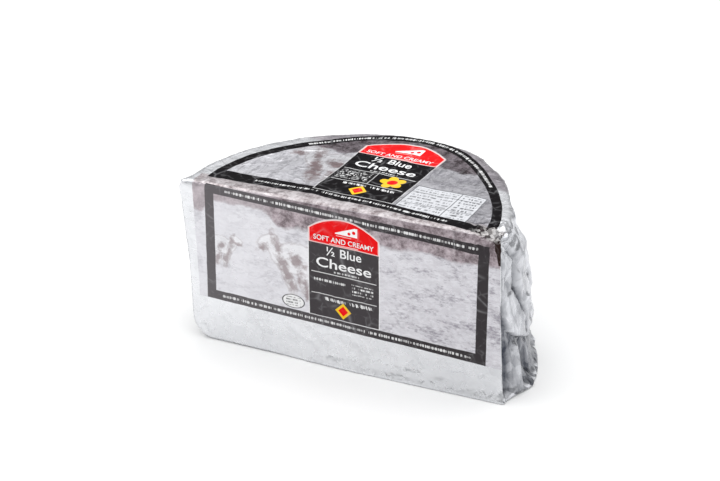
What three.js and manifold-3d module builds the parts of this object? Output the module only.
// Half a wheel of blue cheese in its printed foil wrapper, standing on its round base.
//
// Two pieces: the cheese, cut once down through the wheel, and the sheet of foil that is
// folded round it. The wrapper follows the cheese closely on the top and on the cut face. Its
// spare width is gathered down the two ends of the round side, where it stands off the cheese
// and spreads out at the base.
//
// Millimetres, +Z up, +X along the cut face, which looks towards -Y. The origin is on the
// surface that the half wheel stands on, under the middle of its bounding box.

import * as THREE from "three";
import Module from "manifold-3d";

const wasm = await Module();
wasm.setup();

// The wheel, measured over its foil.
const WHEEL_DIAMETER = 190;
const HEIGHT = 98;
const CUT_OFFSET = 3; // the cut passes this far beyond the wheel's centre

// Rounded edges, also over the foil.
const CORNER_RADIUS = 2.6; // the two upright corners of the cut face
const CUT_EDGE_RADIUS = 2; // top edge of the cut face
const RIM_RADIUS = 5; // top edge of the round side
const BASE_RADIUS = 2; // all round the base
const RIM_BLEND_ANGLE = 20; // degrees of rim over which one top radius turns into the other

// The foil, crumpled and doubled over, and its clearance from the cheese.
const FOIL_WALL = 0.7;
const FOIL_GAP = 0.3;

// The gathers at both ends of the round side. Angles are in degrees round from a corner.
const SWELL = 5.5; // how far they stand off below the rim
const SWELL_START = 4; // depth below the top where the swelling begins
const SWELL_FULL = 16; // depth below the top where it is complete
const SWELL_RISE_ANGLE = 14;
const SWELL_FADE_ANGLE = 50;
const SWELL_END_ANGLE = 90;
const LIP = 6.5; // how much further the hem spreads at the base
const LIP_HEIGHT = 10;
const LIP_RISE_ANGLE = 18;
const LIP_AT_RIGHT_CORNER = 0.4; // share of the spread at the corner itself
const LIP_AT_LEFT_CORNER = 0;
const LIP_AT_BACK = 0.4;

// The fold seam under the base, where the two flaps of foil meet.
const SEAM_LENGTH = 150;
const SEAM_WIDTH = 1.2;
const SEAM_SETBACK = 28; // from the cut face

// Facets.
const CUT_STEPS = 20;
const CORNER_STEPS = 3;
const RIM_STEPS = 60;
const EDGE_STEPS = 3;
const SIDE_STEPS = 11;

const WHEEL_RADIUS = WHEEL_DIAMETER / 2;
const CUT_Y = -CUT_OFFSET;
const { lerp, smoothstep, degToRad, radToDeg } = THREE.MathUtils;

// Centre of the arc that rounds the right-hand upright corner.
const cornerY = CUT_Y + CORNER_RADIUS;
const cornerX = Math.sqrt((WHEEL_RADIUS - CORNER_RADIUS) ** 2 - cornerY ** 2);
const cornerAngle = Math.atan2(cornerY, cornerX);

// How much of the swelling and of the spread hem there is at an angle round the rim.
function gatherShares(angle) {
  const fromRight = radToDeg(angle);
  const fromCorner = Math.min(fromRight, 180 - fromRight);
  const atCorner = fromRight < 90 ? LIP_AT_RIGHT_CORNER : LIP_AT_LEFT_CORNER;
  const fade = smoothstep(fromCorner, SWELL_FADE_ANGLE, SWELL_END_ANGLE);
  const swell = smoothstep(fromCorner, 0, SWELL_RISE_ANGLE) * (1 - fade);
  const rise = lerp(atCorner, 1, smoothstep(fromCorner, 0, LIP_RISE_ANGLE));
  return { swell, lip: rise * lerp(1, LIP_AT_BACK, fade) };
}

// The outline of the half wheel seen from above, anticlockwise from the left end of the cut:
// each point with its outward normal, its top edge radius and its shares of the gathers.
function outline() {
  const points = [];
  const add = (x, y, direction, topRadius, shares) => {
    const normal = new THREE.Vector2(Math.cos(direction), Math.sin(direction));
    points.push({ x, y, normal, topRadius, ...shares });
  };
  for (let i = 0; i <= CUT_STEPS; i += 1) {
    const x = lerp(-cornerX, cornerX, i / CUT_STEPS);
    add(x, CUT_Y, -Math.PI / 2, CUT_EDGE_RADIUS, { swell: 0, lip: 0 });
  }
  for (let i = 1; i < CORNER_STEPS; i += 1) {
    const turn = i / CORNER_STEPS;
    const direction = lerp(-Math.PI / 2, cornerAngle, turn);
    const x = cornerX + CORNER_RADIUS * Math.cos(direction);
    const y = cornerY + CORNER_RADIUS * Math.sin(direction);
    add(x, y, direction, CUT_EDGE_RADIUS, { swell: 0, lip: LIP_AT_RIGHT_CORNER * turn });
  }
  for (let i = 0; i <= RIM_STEPS; i += 1) {
    const direction = lerp(cornerAngle, Math.PI - cornerAngle, i / RIM_STEPS);
    const x = WHEEL_RADIUS * Math.cos(direction);
    const y = WHEEL_RADIUS * Math.sin(direction);
    const along = Math.min(direction - cornerAngle, Math.PI - cornerAngle - direction);
    const blend = smoothstep(radToDeg(along), 0, RIM_BLEND_ANGLE);
    const shares = gatherShares(THREE.MathUtils.clamp(direction, 0, Math.PI));
    add(x, y, direction, lerp(CUT_EDGE_RADIUS, RIM_RADIUS, blend), shares);
  }
  for (let i = 1; i < CORNER_STEPS; i += 1) {
    const turn = i / CORNER_STEPS;
    const direction = lerp(Math.PI - cornerAngle, Math.PI * 1.5, turn);
    const x = -cornerX + CORNER_RADIUS * Math.cos(direction);
    const y = cornerY + CORNER_RADIUS * Math.sin(direction);
    add(x, y, direction, CUT_EDGE_RADIUS, { swell: 0, lip: LIP_AT_LEFT_CORNER * (1 - turn) });
  }
  return points;
}

// How far the foil stands off at a height above the base.
function standOff(point, z) {
  const below = HEIGHT - z;
  const swell = SWELL * smoothstep(below, SWELL_START, SWELL_FULL);
  return point.swell * swell + point.lip * LIP * Math.exp(-z / LIP_HEIGHT);
}

// Where a point of the outline lands when it is set in from the outside and raised.
function place(point, inset, z, gathered) {
  const out = (gathered ? standOff(point, z) : 0) - inset;
  return new THREE.Vector3(point.x + out * point.normal.x, point.y + out * point.normal.y, z);
}

// The rings of a closed half-wheel body that lies inset millimetres inside the outer surface.
function bodyRings(inset, gathered) {
  const points = outline();
  const baseRadius = BASE_RADIUS - inset;
  const rings = [];
  const ring = (insetAt, heightAt) => {
    rings.push(points.map((p) => place(p, insetAt(p), heightAt(p), gathered)));
  };
  for (let k = 0; k <= EDGE_STEPS; k += 1) {
    const a = degToRad((90 * k) / EDGE_STEPS);
    ring(() => inset + baseRadius * (1 - Math.sin(a)), () => inset + baseRadius * (1 - Math.cos(a)));
  }
  for (let k = 1; k < SIDE_STEPS; k += 1) {
    const share = (1 - Math.cos((Math.PI * k) / SIDE_STEPS)) / 2;
    const low = inset + baseRadius;
    ring(() => inset, (p) => lerp(low, HEIGHT - p.topRadius, share));
  }
  for (let k = 0; k <= EDGE_STEPS; k += 1) {
    const a = degToRad((90 * k) / EDGE_STEPS);
    const radius = (p) => p.topRadius - inset;
    ring(
      (p) => inset + radius(p) * (1 - Math.cos(a)),
      (p) => HEIGHT - inset - radius(p) * (1 - Math.sin(a)),
    );
  }
  const bottom = new THREE.Vector3(0, WHEEL_RADIUS / 2, inset);
  return { rings, bottom, top: bottom.clone().setZ(HEIGHT - inset) };
}

// A closed body lofted through its rings, with a fan at the bottom and one at the top.
function loft({ rings, bottom, top }) {
  const count = rings[0].length;
  const vertices = [...rings.flat(), bottom, top];
  const bottomIndex = vertices.length - 2;
  const topIndex = vertices.length - 1;
  const lastRing = (rings.length - 1) * count;
  const index = [];
  for (let i = 0; i < count; i += 1) {
    const j = (i + 1) % count;
    index.push(bottomIndex, j, i);
    for (let low = 0; low < lastRing; low += count) {
      const high = low + count;
      index.push(low + i, low + j, high + j);
      index.push(low + i, high + j, high + i);
    }
    index.push(topIndex, lastRing + i, lastRing + j);
  }
  const geometry = new THREE.BufferGeometry().setFromPoints(vertices);
  geometry.setIndex(index);
  return geometry;
}

function toSolid(geometry) {
  const vertProperties = Float32Array.from(geometry.attributes.position.array);
  const triVerts = Uint32Array.from(geometry.index.array);
  return new wasm.Manifold(new wasm.Mesh({ numProp: 3, vertProperties, triVerts }));
}

function toGeometry(solid) {
  const mesh = solid.getMesh();
  const geometry = new THREE.BufferGeometry();
  geometry.setAttribute("position", new THREE.BufferAttribute(mesh.vertProperties, 3));
  geometry.setIndex(new THREE.BufferAttribute(mesh.triVerts, 1));
  return geometry;
}

// A closed box as eight shared corners, made from two square rings.
function seamCutter() {
  const half = new THREE.Vector2(SEAM_LENGTH / 2, SEAM_WIDTH / 2);
  const y = CUT_Y + SEAM_SETBACK;
  const corners = [[-1, -1], [1, -1], [1, 1], [-1, 1]];
  const level = (z) => corners.map(([a, b]) => new THREE.Vector3(a * half.x, y + b * half.y, z));
  const low = -FOIL_WALL;
  const high = FOIL_WALL + FOIL_GAP / 2;
  return loft({
    rings: [level(low), level(high)],
    bottom: new THREE.Vector3(0, y, low),
    top: new THREE.Vector3(0, y, high),
  });
}

// One sheet of foil: an outer and an inner surface, open along the seam under the base.
function foilGeometry() {
  const outside = toSolid(loft(bodyRings(0, true)));
  const inside = toSolid(loft(bodyRings(FOIL_WALL, true)));
  return toGeometry(outside.subtract(inside).subtract(toSolid(seamCutter())));
}

// The cheese is one solid: a half drum with the same rounded edges, just inside the foil.
function cheeseGeometry() {
  return loft(bodyRings(FOIL_WALL + FOIL_GAP, false));
}

function piece(name, geometry, colour, roughness, metalness) {
  const material = new THREE.MeshStandardMaterial({ color: colour, roughness, metalness });
  const mesh = new THREE.Mesh(geometry, material);
  mesh.name = name;
  return mesh;
}

const cheese = piece("cheese_half_wheel", cheeseGeometry(), 0xe9dfc0, 0.55, 0);
const foil = piece("foil_wrapper", foilGeometry(), 0xc9ccd2, 0.3, 1);

foil.geometry.computeBoundingBox();
const middle = foil.geometry.boundingBox.getCenter(new THREE.Vector3());
const halfWheel = new THREE.Group();
halfWheel.add(cheese, foil);
halfWheel.position.set(-middle.x, -middle.y, 0);

const model = new THREE.Group();
model.add(halfWheel);

export default model;
